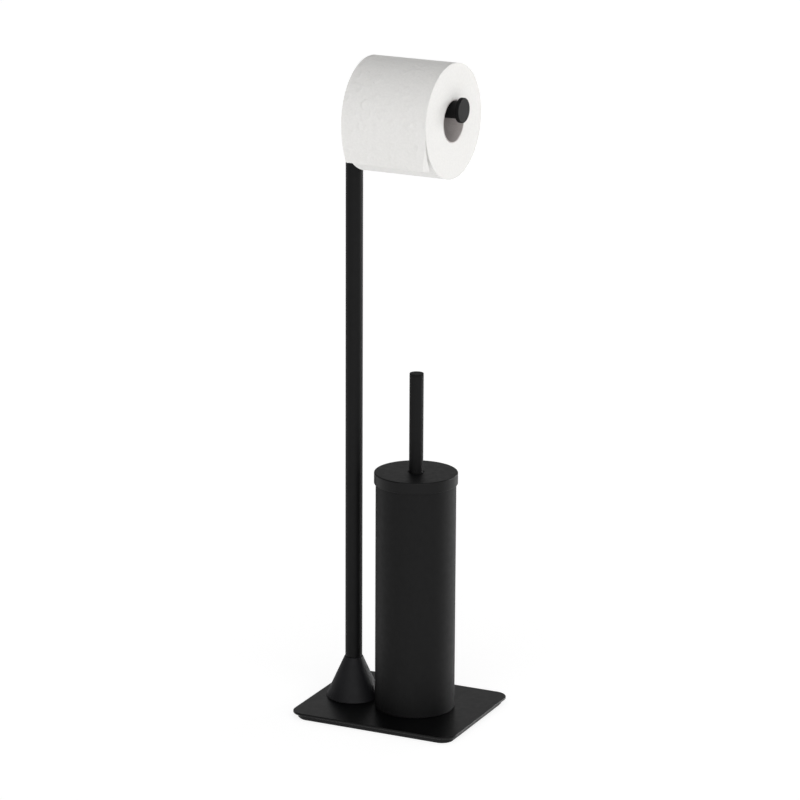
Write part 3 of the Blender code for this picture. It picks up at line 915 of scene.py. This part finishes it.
def lid():
    """The lid, the bush that the handle goes through, and the seal under the lid's rim."""
    at = axis_at(LID)
    low, high, r = LID.low.z, LID.high.z, LID.radius
    bush, gasket = Box("lid_bush"), Box("lid_gasket")
    under = gasket.high.z + GAP
    corners = [
        (LID_HOLE_R, under, 0.0002),
        (r - LID_WALL, under, 0.0006),
        (r - LID_WALL, low, 0.0002),
        (r, low, 0.0004),
        (r, high, 0.0012),
        (LID_HOLE_R, high, 0.0004),
    ]
    shell = turned("lid", corners, at, FINE)
    piece(shell, LID_COAT, "lid", "black_powder_coat", "brush_lid")
    inner = Box("handle_tube").radius + GAP
    flange = bush.low.z + BUSH_FLANGE
    corners = [
        (inner, bush.low.z, 0.0002),
        (bush.radius, bush.low.z, 0.0003),
        (bush.radius, flange, 0.0003),
        (LID_HOLE_R - GAP, flange, 0.0001),
        (LID_HOLE_R - GAP, bush.high.z, 0.0003),
        (inner, bush.high.z, 0.0002),
    ]
    sleeve = turned("guide_bush", corners, at)
    # The bush's darker plastic is painted shade.
    piece(sleeve, BUSH_PLASTIC_PAINTED_SHADE, "lid", "black_plastic", "lid_bush")
    corners = ring(gasket.radius - SEAL_WIDTH, gasket.radius, gasket.low.z, gasket.high.z, 0.0003)
    seal = turned("seal_ring", corners, at, FINE)
    piece(seal, RUBBER, "lid", "black_rubber", "lid_gasket")


# ---------------------------------------------------------------- brush

# The hub's neck, and the bristles: their rows, the spread of roots and tips in radians or, with Z, in metres,
# the crowned ends of the brush and the filaments themselves.
HEAD_SHOULDER = 0.010
HEAD_COLLAR = 0.001
TUFT_ROWS = 20
TUFTS_AROUND = 17
HAIRS = 13
BRUSH_EDGE = 0.0006
TUFT_EDGE = 0.005
ROOT_DEPTH = 0.0006
ROOT_SPREAD = 0.075
ROOT_SPREAD_Z = 0.0008
TUFT_LEAN = 0.05
TIP_SPREAD = 0.06
TIP_SPREAD_Z = 0.0022
TIP_FAN = 0.004
CROWN_H = 0.011
CROWN_IN = 0.009
TRIM = 0.0009
TIP_INSET = 0.0004
HAIR_SIDES = 3
HAIR_BENDS = 3
HAIR_R = 0.00021
HAIR_TAPER = 0.35
HAIR_SAG = 0.0008


def brush():
    """The handle with its end, the collar that carries the lid, the stem and the hub."""
    handle, cap, collar = Box("handle_tube"), Box("handle_cap"), Box("stop_collar")
    stem, head = Box("brush_stem"), Box("brush_head")
    at = axis_at(handle)
    corners = ring(handle.radius - HANDLE_WALL, handle.radius, handle.low.z, handle.high.z, 0.0002)
    tube = turned("handle", corners, at)
    piece(tube, COAT, "brush", "black_powder_coat", "handle_tube")
    plug_r = handle.radius - HANDLE_WALL - GAP
    corners = [
        (0.0, cap.low.z, 0),
        (plug_r, cap.low.z, 0.0003),
        (plug_r, handle.high.z + GAP, 0.0001),
        (cap.radius, handle.high.z + GAP, 0.0002),
        (cap.radius, cap.high.z, 0.0005),
        (0.0, cap.high.z, 0),
    ]
    button = turned("handle_end", corners, at)
    piece(button, COAT, "brush", "black_powder_coat", "handle_cap")
    stop = turned("collar", ring(BORE_R, collar.radius, collar.low.z, collar.high.z, 0.0005), at)
    piece(stop, BLACK_PLASTIC, "brush", "black_plastic", "stop_collar")
    corners = [
        (0.0, stem.low.z, 0),
        (STUD_R, stem.low.z, 0.0003),
        (STUD_R, head.high.z + GAP, 0.0002),
        (stem.radius, head.high.z + GAP, 0.0003),
        (stem.radius, collar.low.z - GAP, 0.0003),
        (STUD_R, collar.low.z - GAP, 0.0002),
        (STUD_R, stem.high.z, 0.0004),
        (0.0, stem.high.z, 0),
    ]
    rod = turned("stem", corners, at)
    piece(rod, BLACK_PLASTIC, "brush", "black_plastic", "brush_stem")
    socket = stem.low.z - GAP
    corners = [
        (0.0, head.low.z, 0),
        (head.radius, head.low.z, 0.004),
        (head.radius, head.high.z - HEAD_SHOULDER, 0.003),
        (stem.radius + HEAD_COLLAR, head.high.z, 0.0006),
        (BORE_R, head.high.z, 0.0002),
        (BORE_R, socket, 0.0002),
        (0.0, socket, 0),
    ]
    hub = turned("brush_hub", corners, at)
    piece(hub, BLACK_PLASTIC, "brush", "black_plastic", "brush_head")


def bristles():
    """Tufts in staggered rows round the hub, each a bundle of thin filaments that splay a little."""
    rng = random.Random(8)
    box, head = Box("brush_bristles"), Box("brush_head")
    root_r = head.radius - ROOT_DEPTH
    reach = box.radius - TIP_INSET
    low, high = box.low.z + BRUSH_EDGE, box.high.z - BRUSH_EDGE
    points, faces = [], []
    for row in range(TUFT_ROWS):
        z = low + TUFT_EDGE + (high - low - 2 * TUFT_EDGE) * row / (TUFT_ROWS - 1)
        for tuft in range(TUFTS_AROUND):
            a = 2 * pi * (tuft + 0.5 * (row % 2)) / TUFTS_AROUND
            lean = rng.uniform(-TUFT_LEAN, TUFT_LEAN)
            for _ in range(HAIRS):
                root_a = a + rng.uniform(-ROOT_SPREAD, ROOT_SPREAD)
                root_z = z + rng.uniform(-ROOT_SPREAD_Z, ROOT_SPREAD_Z)
                tip_a = a + lean + rng.gauss(0.0, TIP_SPREAD)
                tip_z = z + rng.gauss(0.0, TIP_SPREAD_Z)
                tip_z += TIP_FAN * ((row + 0.5) / TUFT_ROWS - 0.5) * 2
                tip_z = min(max(tip_z, low), high)
                crown = min(tip_z - low, high - tip_z, CROWN_H) / CROWN_H
                inset = CROWN_IN * (1 - sqrt(max(0.0, 1 - (1 - crown) ** 2)))
                tip_r = reach - inset - rng.uniform(0.0, TRIM)
                hair(points, faces, (root_r, root_a, root_z), (tip_r, tip_a, tip_z), rng)
    points = [(x + box.centre.x, y + box.centre.y, z) for x, y, z in points]
    obj = add_mesh("bristle_tufts", points, faces, sharp=60, weighted=False)
    piece(obj, NYLON, "brush", "bristle_nylon", "brush_bristles")


def hair(points, faces, root, tip, rng):
    """One filament as a thin three-sided rod that bends slightly."""
    sides, bends = HAIR_SIDES, HAIR_BENDS
    start = len(points)
    sag = rng.uniform(-HAIR_SAG, HAIR_SAG)
    for i in range(bends + 1):
        s = i / bends
        r = root[0] + (tip[0] - root[0]) * s
        a = root[1] + (tip[1] - root[1]) * s * s
        z = root[2] + (tip[2] - root[2]) * s + sag * sin(pi * s)
        thick = HAIR_R * (1 - HAIR_TAPER * s)
        for k in range(sides):
            turn = 2 * pi * k / sides
            around = thick * cos(turn) / r
            points.append((r * cos(a + around), r * sin(a + around), z + thick * sin(turn)))
    for i in range(bends):
        for k in range(sides):
            n = (k + 1) % sides
            one, two = start + i * sides, start + (i + 1) * sides
            faces.append((one + k, one + n, two + n, two + k))
    faces.append(tuple(start + k for k in reversed(range(sides))))
    faces.append(tuple(start + bends * sides + k for k in range(sides)))


def fasteners():
    """The CAD's own plugs, screws, sleeve, nut and pan, which sit inside or under the set."""
    for name in (
        "post_plug",
        "post_screw",
        "joint_sleeve",
        "arm_end_plug",
        "holder_base",
        "holder_nut",
        "holder_screw",
        "handle_insert",
    ):
        node = frame["nodes"][name]
        node.data.materials.clear()
        node.data.materials.append(STEEL)


# ---------------------------------------------------------------- studio

FLOOR_HALF = 40.0
FLOOR_CLEARANCE = 0.0002
LENS = 156.40
CAMERA_AT = (1.5623, -3.3198, 1.3477)
CAMERA_DOWN = radians(15.07)
CAMERA_HEADING = radians(25.23)
CAMERA_ROLL = radians(0.28)
SIGHT = 200.0
ROOM_SHELL = 0.07

# Each soft box is ((azimuth, elevation), full radius, outer radius, radiance), with its angles in degrees.
ROOM_LIGHTS = (
    ((151, -1), 6, 14, 26.0),
    ((125, 6), 8, 32, 1.5),
    ((31, 25), 41, 53, 1.57),
    ((200, 26), 15, 55, 0.33),
    ((262, 8), 12, 42, 0.35),
)


def heading(azimuth, elevation):
    """A direction from the object, azimuth from the front towards +X."""
    a, e = radians(azimuth), radians(elevation)
    return (sin(a) * cos(e), -cos(a) * cos(e), sin(e))


def room():
    """The room's light by direction: a dim shell with soft boxes on all four sides of the set."""
    world = bpy.data.worlds.new("soft_room")
    world.use_nodes = True
    tree = world.node_tree
    direction = tree.nodes.new("ShaderNodeTexCoord").outputs["Generated"]
    total = None
    for (azimuth, elevation), inner, outer, radiance in ROOM_LIGHTS:
        dot = tree.nodes.new("ShaderNodeVectorMath")
        dot.operation = "DOT_PRODUCT"
        tree.links.new(direction, dot.inputs[0])
        dot.inputs[1].default_value = heading(azimuth, elevation)
        lit = tree.nodes.new("ShaderNodeMapRange")
        lit.interpolation_type = "SMOOTHSTEP"
        tree.links.new(dot.outputs["Value"], lit.inputs["Value"])
        lit.inputs["From Min"].default_value = cos(radians(outer))
        lit.inputs["From Max"].default_value = cos(radians(inner))
        lit.inputs["To Max"].default_value = radiance
        if total:
            add = tree.nodes.new("ShaderNodeMath")
            tree.links.new(total, add.inputs[0])
            tree.links.new(lit.outputs["Result"], add.inputs[1])
            total = add.outputs["Value"]
        else:
            total = lit.outputs["Result"]
    shell = tree.nodes.new("ShaderNodeMath")
    tree.links.new(total, shell.inputs[0])
    shell.inputs[1].default_value = ROOM_SHELL
    background = tree.nodes["Background"]
    background.inputs["Color"].default_value = (1.0, 1.0, 1.0, 1.0)
    tree.links.new(shell.outputs["Value"], background.inputs["Strength"])
    bpy.context.scene.world = world


def studio():
    """The room's light and the floor that the set stands on."""
    scene = bpy.context.scene
    scene.view_settings.view_transform = "Standard"
    room()
    half = FLOOR_HALF
    z = cad_bounds[0].z - FLOOR_CLEARANCE
    floor = add_mesh(
        "floor",
        [(-half, -half, z), (half, -half, z), (half, half, z), (-half, half, z)],
        [(0, 1, 2, 3)],
        weighted=False,
    )
    floor.data.materials.append(floor_paint())


def camera():
    """A long lens from the front and a little to the right, looking down on the set."""
    data = bpy.data.cameras.new("camera")
    data.lens = LENS
    data.clip_end = SIGHT
    obj = bpy.data.objects.new("camera", data)
    bpy.context.scene.collection.objects.link(obj)
    look = Euler((pi / 2 - CAMERA_DOWN, 0.0, CAMERA_HEADING)).to_matrix().to_4x4()
    tilt = Matrix.Rotation(CAMERA_ROLL, 4, "Z")
    obj.matrix_world = Matrix.Translation(CAMERA_AT) @ look @ tilt
    bpy.context.scene.camera = obj


camera()
base()
post()
arm()
core()
wound()
sheet()
holder()
lid()
brush()
bristles()
fasteners()
studio()
